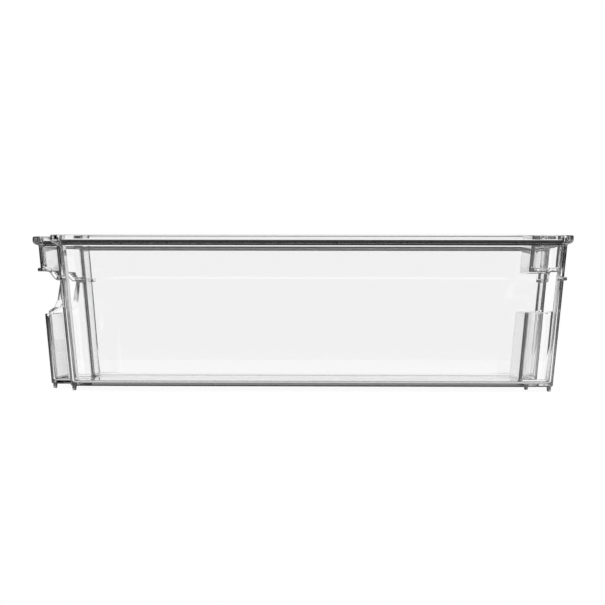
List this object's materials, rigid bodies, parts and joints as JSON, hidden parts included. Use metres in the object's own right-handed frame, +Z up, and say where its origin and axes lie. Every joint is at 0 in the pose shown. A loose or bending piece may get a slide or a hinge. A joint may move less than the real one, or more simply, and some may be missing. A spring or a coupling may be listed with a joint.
{
  "type": "fridge drawer organizer",
  "caption": "Long clear open-top plastic bin with a rolled rim, a grip that stands out at one end and a matching set-back at the other, each over a hand opening.",
  "frame": {"origin": "on the table plane under the middle of the overall box", "axes": "+X along the bin from the grip end to the docking end, +Y across it, +Z up"},
  "size_m": [0.3174, 0.16, 0.09],
  "materials": {
    "clear_plastic": "clear, polished"
  },
  "bodies": {
    "root": {"floor_pan": "clear_plastic", "side_wall_left": "clear_plastic", "side_wall_right": "clear_plastic", "grip_bar": "clear_plastic", "grip_panel": "clear_plastic", "dock_bar": "clear_plastic", "dock_panel": "clear_plastic", "rim_bead": "clear_plastic", "grip_lip": "clear_plastic", "dock_lip": "clear_plastic", "feet": "clear_plastic"}
  },
  "joints": []
}
